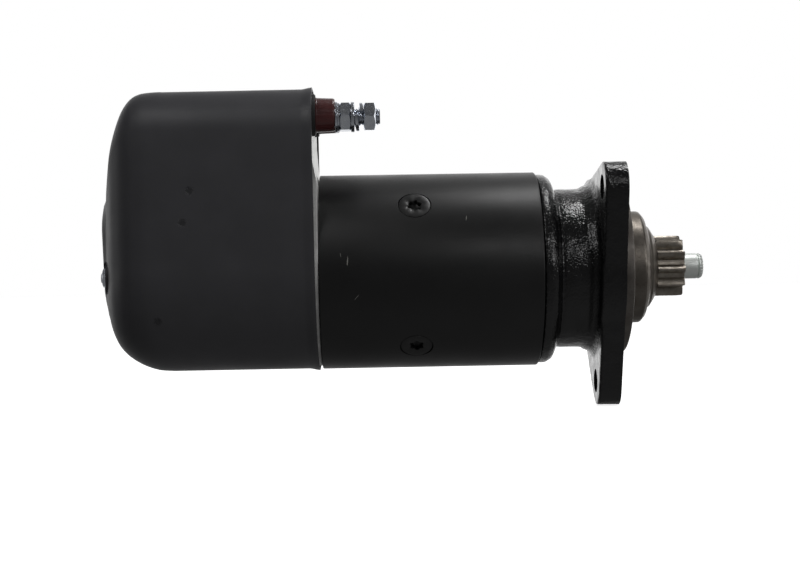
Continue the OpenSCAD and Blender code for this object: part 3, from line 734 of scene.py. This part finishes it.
def build_bracket():
    core = lathe_mesh("bracket_core", [
        (-56.8, 0, 0), (-56.8, 68.3, 0.8), (-51.0, 68.3, 0.8), (-49.6, 67.4, 0.6), (-47.2, 66.0, 1.2),
        (-45.4, 62.6, 1.0), (-43.6, 57.0, 1.0), (-42.8, 56.2, 0.8), (-41.4, 57.5, 1.0), (-24.0, 57.5, 1.0),
        (-22.6, 59.2, 1.2), (-18.6, 60.2, 1.5), (-16.6, 64.5, 0), (3, 64.5, 0), (3, 0, 0),
    ], 160, AXIS, 4)
    ears = []
    for k in range(3):
        ring = ear_outline(EAR_ANGLE + 120 * k)
        ears.append(loft_mesh("ear", [[Vector((x, y, z)) for y, z in ring] for x in (-FLANGE_T, 3)]))
    mesh = combine(core, ears, "UNION")
    obj = add_object("scratch", mesh)
    remesh = obj.modifiers.new("remesh", "REMESH")
    remesh.mode = "VOXEL"
    remesh.voxel_size = 1.1 * MM
    relax = obj.modifiers.new("relax", "SMOOTH")
    relax.factor = 0.5
    relax.iterations = 5
    mesh = bake(obj)
    # The sand mould leaves slow waves of a few tenths of a millimetre
    normals = [v.normal.copy() for v in mesh.vertices]
    for v, normal in zip(mesh.vertices, normals):
        p = v.co / MM
        wave = noise.noise(p / 7.0) * 0.16 + noise.noise(p / 2.6) * 0.07
        v.co += normal * wave * MM
    square = ((-130, -130), (130, -130), (130, 130), (-130, 130))
    cuts = [loft_mesh("face_cut", [[Vector((x, y, z)) for y, z in square] for x in (0, 20)])]
    for k in range(3):
        y, z = around(0, EAR_CIRCLE, math.radians(EAR_ANGLE + 120 * k))[1:]
        cuts.append(rod_mesh(-40, 10, BOLT_HOLE, (y, z), 64))
    cuts.append(lathe_mesh("bores", [
        (-60, 0, 0), (-60, 38, 0), (-46, 38, 0), (-46, 30, 0), (-42.5, 30, 0), (-42.5, 48, 0), (-12, 48, 0),
        (-12, 34, 0), (5, 34, 0), (5, 0, 0),
    ], 96))
    mesh = combine(mesh, cuts, "DIFFERENCE")
    mesh.materials.clear()
    for m in (CAST_BLACK, SPIGOT_STEEL, CAST_BACK_PAINTED_LIGHT):
        mesh.materials.append(m)
    # Flat front faces are machined; the ears' rear faces take the lighter copy of the cast finish, which is
    # painted light
    for polygon in mesh.polygons:
        flat = polygon.normal.x > 0.98 and polygon.center.x > -0.2 * MM
        back = polygon.normal.x < -0.9 and abs(polygon.center.x + FLANGE_T * MM) < MM
        polygon.material_index = 1 if flat else 2 if back else 0
    finish_piece("bracket_casting", mesh, CAST_BLACK, ["drive_end_bracket"], 40)
    spigot = lathe_mesh("pilot_spigot", [
        (-12, 19, 0.3), (-12, 33.9, 0.3), (-0.01, 33.9, 0), (-0.01, SPIGOT_R, 0), (SPIGOT_H, SPIGOT_R, 1.0),
        (SPIGOT_H, 34.02, 0.2), (0, 34.02, 0), (0, 19, 0.3),
    ], 192)
    finish_piece("pilot_spigot", spigot, SPIGOT_STEEL, [], 30)


def build_nose():
    mesh = lathe_mesh("nose_ring_turned", [
        (0.1, 19, 0.3), (0.1, 33.9, 0.3), (5.9, 33.9, 0), (6.05, 40.5, 0.2), (17.2, 40.5, 0.9),
        (18.5, 40.1, 0.8), (20.9, 37.4, 1.2), (22.4, 33.0, 1.6), (23.5, 30.4, 0.8), (25.3, 29.3, 1.2),
        (26.9, 27.0, 1.2), (28.4, 24.6, 1.0), (29.5, 22.6, 0.6), (29.55, 15.7, 0.4), (21.9, 15.7, 0.2),
        (21.9, 19, 0.2),
    ], 192)
    finish_piece("nose_ring_turned", mesh, NOSE_STEEL, ["nose_ring"], 25)


# ---------------------------------------------------------------- pinion

TEETH = 11
TOOTH_ANGLE = 186.5
GEAR_MODULE = 3.175
PITCH_R = GEAR_MODULE * TEETH / 2
PRESSURE = math.radians(20)
BASE_R = PITCH_R * math.cos(PRESSURE)
TIP_R = 22.25
ROOT_R = 16.5
SHIFT = 0.5


def involute(r):
    """The angle that the involute has swept at radius r, in radians."""
    if r <= BASE_R:
        return 0.0
    return math.sqrt(r * r / BASE_R**2 - 1) - math.acos(BASE_R / r)


def flank_angle(r):
    """Half a tooth's thickness at radius r, as an angle."""
    half = (math.pi / 2 + 2 * SHIFT * math.tan(PRESSURE)) / TEETH
    return half + involute(PITCH_R) - involute(r)


def tooth_ring(x, tip_trim=0.0, flank_trim=0.0):
    """The pinion's outline at x. Trims take the tips down and one flank back, for the lead-in."""
    points = []
    tip = TIP_R - tip_trim
    radii = [ROOT_R + 0.35 + (tip - 0.4 - ROOT_R - 0.35) * i / 7 for i in range(8)]
    for k in range(TEETH):
        mid = math.radians(TOOTH_ANGLE) + math.tau * k / TEETH
        half_pitch = math.pi / TEETH
        points.append(around(x, ROOT_R, mid - half_pitch))
        for r in radii:
            points.append(around(x, r, mid - flank_angle(r)))
        points.append(around(x, tip, mid - flank_angle(tip) + 0.012))
        points.append(around(x, tip, mid))
        points.append(around(x, tip - flank_trim * 0.6, mid + flank_angle(tip) - 0.012 - flank_trim * 0.03))
        for r in reversed(radii):
            cut = flank_trim * max(0.0, (r - ROOT_R - 1.2) / (TIP_R - ROOT_R))
            points.append(around(x, r, mid + flank_angle(r) - cut * 0.045))
    return points


def build_pinion():
    low, high = node_box("pinion")
    x0, x1 = low[0], high[0]
    bm = bmesh.new()
    rings = [tooth_ring(x0, 0.5), tooth_ring(x0 + 0.5)]
    rings += [tooth_ring(x0 + 0.5 + (x1 - 2.9 - x0) * k / 6) for k in range(1, 7)]
    rings += [tooth_ring(x1 - 0.5, 0.25, 2.2), tooth_ring(x1 - 0.02, 0.8, 2.7)]
    loft(bm, rings)
    mesh = bm_to_mesh(bm, "pinion_teeth")
    mesh = combine(mesh, [rod_mesh(x0 - 5, x1 + 5, 10.52, AXIS, 96)], "DIFFERENCE")
    finish_piece("pinion_teeth", mesh, PINION_STEEL, ["pinion"], 32, "drive")


def build_pinion_sleeve():
    low, high = node_box("pinion_nut")
    x0, x1 = low[0], high[0]
    serrations = 22

    def radius(x, r, angle):
        if x < x1 - 2.6 or r < 5.2:
            return r
        depth = 0.55 * smoothstep((x - x1 + 2.6) / 1.2)
        return r - depth * (0.5 + 0.5 * math.cos(serrations * angle)) ** 2

    mesh = lathe_mesh("pinion_sleeve", [
        (x0, 6.05, 0), (x0, 9.2, 0.35), (x1 - 4.2, 9.2, 0.25), (x1 - 4.0, 8.0, 0.1), (x1 - 3.4, 8.0, 0.1),
        (x1 - 3.2, 9.2, 0.25), (x1 - 1.9, 9.15, 0.5), (x1 - 0.5, 8.3, 0.5), (x1, 7.6, 0.4),
        (x1 - 0.02, 5.0, 0.3), (62.05, 5.0, 0), (62.05, 6.05, 0),
    ], 264, AXIS, 4, radius)
    finish_piece("pinion_sleeve", mesh, ZINC_DULL, ["pinion_nut"], 30, "drive")


# ---------------------------------------------------------------- fasteners and terminals


def hex_nut(bm, x0, x1, flats, bore, turn, centre):
    """A hexagon nut with both faces chamfered by 30 degrees, as the real ones are turned."""
    apothem = flats / 2
    count = 96
    slope = math.tan(math.radians(30))
    face_r = apothem * 0.95

    def ring(kind, side):
        points = []
        for k in range(count):
            a = math.tau * k / count
            off = (a % (math.pi / 3)) - math.pi / 6
            hex_r = apothem / math.cos(off)
            r = {"bore": bore, "lead": bore + 0.7, "face": face_r, "rim": hex_r}[kind]
            back = (max(0.0, hex_r - face_r) * slope) if kind == "rim" else (0.6 if kind == "bore" else 0.0)
            x = x1 - back if side > 0 else x0 + back
            points.append(around(x, r, a + math.radians(turn), centre))
        return points

    kinds = ("bore", "lead", "face", "rim")
    rings = [ring(kind, -1) for kind in kinds] + [ring(kind, 1) for kind in reversed(kinds)]
    rows = loft(bm, rings, False, False)
    band(bm, rows[-1], rows[0])


def washer(bm, x0, x1, r_out, r_in, centre, soft=0.25):
    edge = min(soft, (x1 - x0) * 0.4)
    corners = [(x0, r_in, 0.1), (x0, r_out, edge), (x1, r_out, edge), (x1, r_in, 0.1)]
    lathe(bm, rounded(corners, 3), 72, centre)


def spring_washer(bm, x0, x1, r_out, r_in, centre, start):
    """A split ring whose two ends stand apart along the stud."""
    section = 2.5
    rise = (x1 - x0) - section
    rings = []
    steps = 64
    gap = math.radians(9)
    for k in range(steps + 1):
        t = k / steps
        a = math.radians(start) + gap + (math.tau - 2 * gap) * t
        x = x0 + rise * t
        corners = ((x, r_in), (x, r_out), (x + section, r_out), (x + section, r_in))
        ring = []
        for i, (ax, ar) in enumerate(corners):
            for cx, cr in (corners[i - 1], corners[(i + 1) % 4]):
                ring.append(around(ax + (cx - ax) * 0.12, ar + (cr - ar) * 0.12, a, centre))
        rings.append(ring)
    loft(bm, rings)


def threaded(bm, plain_x, xs, r, pitch, depth, end_r, centre):
    """A stud, plain from plain_x to the first of xs and threaded to its bevelled end, the last of xs."""
    count = 32
    tip = xs[-1]
    rows = [[around(plain_x, r, math.tau * k / count, centre) for k in range(count)]]
    for x in xs:
        ring = []
        for k in range(count):
            phase = (x / pitch - k / count) % 1.0
            tooth = min(1.0, (1 - abs(2 * phase - 1)) * 1.25)
            q = min(r - depth * (1 - tooth), end_r + abs(tip - x) * 0.9)
            ring.append(around(x, q, math.tau * k / count, centre))
        rows.append(ring)
    loft(bm, rows)


def terminal_thread(bm, low, high, r, pitch, centre):
    """A terminal stud's thread, which starts inside its insulator."""
    start, depth = -203.0, pitch * 0.54
    steps = int((high[0] - start) / pitch * 8)
    xs = [start + (high[0] - start) * k / steps for k in range(steps + 1)]
    threaded(bm, low[0], xs, r, pitch, depth, r - depth * 0.9, centre)


def piece_from(name, build, material, nodes, body="housing"):
    """A finished piece from a function that fills a bmesh."""
    bm = bmesh.new()
    build(bm)
    return finish_piece(name, bm_to_mesh(bm, name), material, nodes, 32, body)


def zinc_piece(name, node, build):
    piece_from(name, build, ZINC, [node])


# The rubber seals under both terminals
SEAL_X0, SEAL_X1 = -215.95, -212.85


def build_battery_terminal():
    at = centre_yz("battery_stud")
    block = centre_yz("battery_insulator")
    low, high = node_box("battery_stud")

    ribs = 16

    def radius(x, r, angle):
        if r < 10.5 or x < -212.6:
            return r
        return r - 0.10 * (0.5 + 0.5 * math.cos(ribs * angle)) ** 6

    mesh = lathe_mesh("insulator_moulding", [
        (-226, 0, 0), (-226, 8.75, 0.2), (-213.5, 8.75, 0), (-213.5, 12.25, 0.3), (-212.2, 12.3, 0.3),
        (-211.6, 12.1, 0.3), (-200.7, 11.65, 0.6), (-199.4, 11.2, 0.9), (-199.22, 9.6, 0.5), (-199.22, 0, 0),
    ], 192, block, 4, radius)
    mesh = combine(mesh, [rod_mesh(-230, -195, 6.0, at, 48)], "DIFFERENCE")
    finish_piece("insulator_moulding", mesh, PHENOLIC, ["battery_insulator"], 32)
    mesh = lathe_mesh("terminal_seal_ring", [
        (SEAL_X0, 8.9, 0), (SEAL_X0, 14.8, 0.3), (SEAL_X1, 14.5, 0.9), (SEAL_X1, 12.5, 0.2),
        (-213.6, 12.4, 0), (-213.6, 8.9, 0),
    ], 96, block, 4)
    finish_piece("terminal_seal_ring", mesh, RUBBER, [], 32)
    zinc_piece("battery_thread", "battery_stud", lambda bm: terminal_thread(bm, low, high, 5.95, 1.75, at))
    zinc_piece("battery_nut_inner", "battery_inner_nut",
               lambda bm: hex_nut(bm, -195.95, -188.2, 19, 6.0, -2, at))
    zinc_piece("battery_nut_outer", "battery_outer_nut",
               lambda bm: hex_nut(bm, -179.15, -170.8, 19, 6.0, 3, at))

    def washers(bm):
        washer(bm, -199.15, -197.4, 10.9, 6.1, at)
        washer(bm, -197.35, -196.0, 10.2, 6.1, at)
        washer(bm, -188.15, -185.6, 10.7, 6.1, at, 0.5)

    zinc_piece("battery_plain_washers", "battery_washers", washers)
    zinc_piece("battery_split_washer", "battery_spring_washer",
               lambda bm: spring_washer(bm, -185.55, -179.2, 10.0, 6.3, at, 170))


def build_control_terminal():
    at = centre_yz("control_stud")
    low, high = node_box("control_stud")

    def nuts(bm):
        washer(bm, -197.6, -196.2, 6.0, 3.05, at)
        hex_nut(bm, -196.15, -191.6, 10, 3.0, 0, at)
        hex_nut(bm, -191.5, -186.6, 10, 3.0, 12, at)

    mesh = lathe_mesh("control_seal_ring", [
        (SEAL_X0, 6.4, 0), (SEAL_X0, 10, 0.3), (SEAL_X1, 9.8, 0.8), (SEAL_X1, 6.4, 0),
    ], 72, at, 4)
    finish_piece("control_seal_ring", mesh, RUBBER, ["terminal_seal"], 32)
    mesh = lathe_mesh("control_moulding", [
        (-226, 3.05, 0), (-226, 6.25, 0.2), (-212.8, 6.25, 0), (-212.8, 7.8, 0.3), (-198.6, 7.2, 0.6),
        (-197.7, 6.6, 0.5), (-197.7, 3.05, 0),
    ], 96, at, 4)
    finish_piece("control_moulding", mesh, PHENOLIC, ["control_insulator"], 32)
    zinc_piece("control_thread", "control_stud", lambda bm: terminal_thread(bm, low, high, 2.95, 1.0, at))
    zinc_piece("control_nut_pair", "control_nuts", nuts)


def build_cover_fasteners():
    low, high = node_box("cover_nuts")
    z = (low[2] + high[2]) / 2
    half = (high[1] - low[1]) / 2 - COVER_WASHER_R
    tip = node_box("cover_studs")[0][0]

    def nuts(bm):
        for s in (-1, 1):
            washer(bm, low[0] + 6.35, high[0], COVER_WASHER_R, 4.05, (s * half, z))
            hex_nut(bm, low[0], low[0] + 6.3, 13, 4.0, 8 * s, (s * half, z))

    def studs(bm):
        start, steps = -350, 59
        xs = [start + (tip - start) * k / steps for k in range(steps + 1)]
        for s in (-1, 1):
            threaded(bm, -330.1, xs, 3.9, 1.25, 0.62, 3.35, (s * half, z))

    zinc_piece("cover_nut_pair", "cover_nuts", nuts)
    zinc_piece("cover_threads", "cover_studs", studs)


# ---------------------------------------------------------------- springs


def helix(bm, x0, x1, r, wire, turns, place=Matrix.Identity(4)):
    """A compression spring with closed ends along X."""
    steps = int(turns * 24)
    path = []
    for k in range(steps + 1):
        turned = turns * k / steps
        even = max(0, min(1, (turned - 0.8) / (turns - 1.6)))
        lead = 0.85 * even + 0.15 * smoothstep((turned - 0.7) / (turns - 1.4))
        x = x0 + wire + (x1 - x0 - 2 * wire) * lead
        a = math.tau * turned
        path.append(place @ Vector((x, r * math.cos(a), r * math.sin(a))))
    sweep(bm, path, wire, 10)


def spring_piece(name, node, body, build):
    return piece_from(name, build, SPRING_STEEL, [node], body)


def build_springs():
    """The return spring, the relay spring and the four brush springs, each a coil of wire on its body; the
    return and brush springs get meshes of their own.
    """
    low, high = node_box("return_spring")
    spring = spring_piece("return_spring_wire", "return_spring", "engaging_gear",
                          lambda bm: helix(bm, low[0], high[0], 8.0, 1.15, 7.5))
    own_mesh(spring)
    low, high = node_box("relay_spring")
    lift = Matrix.Translation((0, 0, (low[2] + high[2]) / 2))
    spring_piece("relay_spring_wire", "relay_spring", "relay_armature",
                 lambda bm: helix(bm, low[0], high[0], 4.6, 0.55, 6.5, lift))
    low, high = node_box("brush_springs")
    x = (low[0] + high[0]) / 2
    inner, outer = 46.1, 55.8
    for k in range(4):
        angle = POLE_ANGLE + 90 * k
        turn = radial_frame(x, angle) @ Matrix.Rotation(math.radians(-90), 4, "Y")
        spring = spring_piece(f"brush_spring_wire_{k + 1}", "brush_springs", "housing",
                              lambda bm: helix(bm, inner, outer, 3.0, 0.5, 6, turn))
        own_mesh(spring)


# ---------------------------------------------------------------- inner parts that keep their CAD shape

KEPT = {
    RUBBER: ["cover_gasket", "shaft_seal"],
    SOFT_IRON: ["pole_shoes"],
    COIL_TAPE: ["field_coils"],
    ZINC: ["through_bolts", "solenoid_screws"],
    BEARING_STEEL: ["spindle_bearing", "drum_bearing", "solenoid_housing", "solenoid_end_plate",
                    "relay_body"],
    BRONZE: ["rear_bearing"],
    BRASS: ["brush_boxes"],
    BOARD: ["brush_plate"],
    NYLON: ["solenoid_bobbin"],
    BLACK_PLASTIC: ["relay_cap"],
    COPPER: ["battery_bar", "field_bar", "solenoid_coil", "relay_coil", "relay_contacts", "armature_windings",
             "commutator"],
    LAMINATION: ["armature_core", "clutch_outer_plates"],
    FRICTION: ["clutch_inner_plates"],
    SHAFT_STEEL: ["armature_shaft", "clutch_drum", "clutch_hub", "solenoid_plunger", "engaging_rod",
                  "drive_spindle", "relay_plunger"],
    CARBON: ["brush_1", "brush_2", "brush_3", "brush_4"],
}


def dress_kept_nodes():
    for material, names in KEPT.items():
        for name in names:
            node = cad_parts[name]
            if not node.data.materials:
                node.data.materials.append(material)
            for s in node.material_slots:
                s.material = material


# ---------------------------------------------------------------- stage, lights and camera


def build_stage():
    floor_z = node_box("drive_end_bracket")[0][2] - 0.6
    bm = bmesh.new()
    size = 6000
    ring = [Vector((x, y, floor_z)) for x, y in ((-size, -size), (size, -size), (size, size), (-size, size))]
    bm.faces.new([bm.verts.new(p) for p in ring])
    mesh = bm_to_mesh(bm, "floor")
    floor = add_object("floor", mesh)
    f = Finish("pale_floor", (0.9, 0.9, 0.9), 0.8, Emission_Color=(1, 1, 1, 1), Emission_Strength=0.86)
    mesh.materials.append(f.done())
    floor.visible_glossy = False
    floor.visible_diffuse = False


def area_light(name, place, target, size, power, size_y=None):
    """A rectangular softbox at a place, in metres, that faces the target."""
    light = bpy.data.lights.new(name, "AREA")
    light.energy = power
    light.shape = "RECTANGLE"
    light.size = size
    light.size_y = size_y or size
    lamp = add_object(name, light)
    lamp.location = place
    lamp.rotation_euler = (Vector(target) - Vector(place)).to_track_quat("-Z", "Y").to_euler()
    lamp.visible_camera = False


# The studio's brightness by elevation, from straight ahead of the object over the top to behind it,
# and on below it back to the front: (degrees, strength)
STUDIO_GAIN = 1.5
STUDIO = [
    (-180, 1.0), (-165, 0.50), (-150, 0.16), (-120, 0.07), (-60, 0.12), (-25, 0.08), (0, 0.05), (12, 0.05),
    (40, 0.05), (62, 0.05), (75, 0.06), (98, 0.10), (125, 0.16), (145, 0.5), (160, 0.95), (180, 1.0),
]


def build_world():
    """White to the camera; to the metal, a bright backdrop behind and a dim studio on the camera's side."""
    world = bpy.data.worlds.new("studio")
    bpy.context.scene.world = world
    world.use_nodes = True
    tree = world.node_tree
    tree.nodes.clear()
    link = tree.links.new

    def add(kind, **settings):
        return new_node(tree, kind, **settings)

    coords = add("ShaderNodeTexCoord")
    parts = add("ShaderNodeSeparateXYZ")
    link(coords.outputs["Generated"], parts.inputs[0])
    ahead = add("ShaderNodeMath", operation="MULTIPLY")
    ahead.inputs[1].default_value = -1
    link(parts.outputs["Y"], ahead.inputs[0])
    angle = add("ShaderNodeMath", operation="ARCTAN2")
    link(parts.outputs["Z"], angle.inputs[0])
    link(ahead.outputs[0], angle.inputs[1])
    turn = ranged(tree, angle.outputs[0], -math.pi, math.pi, 0.0, 1.0)
    ramp = add("ShaderNodeValToRGB")
    stops = ramp.color_ramp.elements
    for degrees, _ in STUDIO[1:-1]:
        stops.new((degrees + 180) / 360)
    for stop, (_, strength) in zip(stops, STUDIO):
        stop.color = (strength, strength, strength, 1)
    link(turn, ramp.inputs["Fac"])
    studio, white = add("ShaderNodeBackground"), add("ShaderNodeBackground")
    link(ramp.outputs["Color"], studio.inputs["Color"])
    # The studio is dimmer beyond the cover end
    side = ranged(tree, parts.outputs["X"], -0.75, -0.2, STUDIO_GAIN * 0.35, STUDIO_GAIN)
    link(side, studio.inputs["Strength"])
    white.inputs["Color"].default_value = (1, 1, 1, 1)
    path, mix, out = add("ShaderNodeLightPath"), add("ShaderNodeMixShader"), add("ShaderNodeOutputWorld")
    link(path.outputs["Is Camera Ray"], mix.inputs[0])
    link(studio.outputs[0], mix.inputs[1])
    link(white.outputs[0], mix.inputs[2])
    link(mix.outputs[0], out.inputs["Surface"])


def build_lights():
    middle = (-0.15, 0, 0)
    area_light("top_softbox", (0.22, 0.1, 1.15), middle, 0.3, 3.4)
    area_light("front_strip", (0.2, -1.16, 0.56), middle, 0.25, 0.8, 0.16)
    area_light("drive_end_fill", (0.75, -0.75, 0.35), (0.03, 0, 0), 0.4, 1.6)
    area_light("key_fill", (-0.55, -0.5, 0.62), (-0.28, 0, 0.05), 0.3, 1.0)


def build_camera():
    centre_x, distance = -0.176, 1.077
    yaw, pitch, roll = math.radians(1.12), math.radians(0.37), math.radians(1.0)
    camera = bpy.data.cameras.new("camera")
    camera.sensor_width = 36
    camera.lens = 66.6
    camera.clip_end = 50
    eye = add_object("camera", camera)
    look = Matrix.Rotation(-yaw, 4, "Z") @ Matrix.Rotation(math.radians(90) - pitch, 4, "X")
    place = Matrix.Translation((centre_x, -distance, 0))
    eye.matrix_world = place @ look @ Matrix.Rotation(-roll, 4, "Z")
    bpy.context.scene.camera = eye


build_cover()
build_end_shield()
build_barrel()
build_pole_screws()
build_bracket()
build_nose()
build_pinion()
build_pinion_sleeve()
build_battery_terminal()
build_control_terminal()
build_cover_fasteners()
build_springs()
dress_kept_nodes()
build_stage()
build_world()
build_lights()
build_camera()
bpy.context.scene.view_settings.view_transform = "Standard"
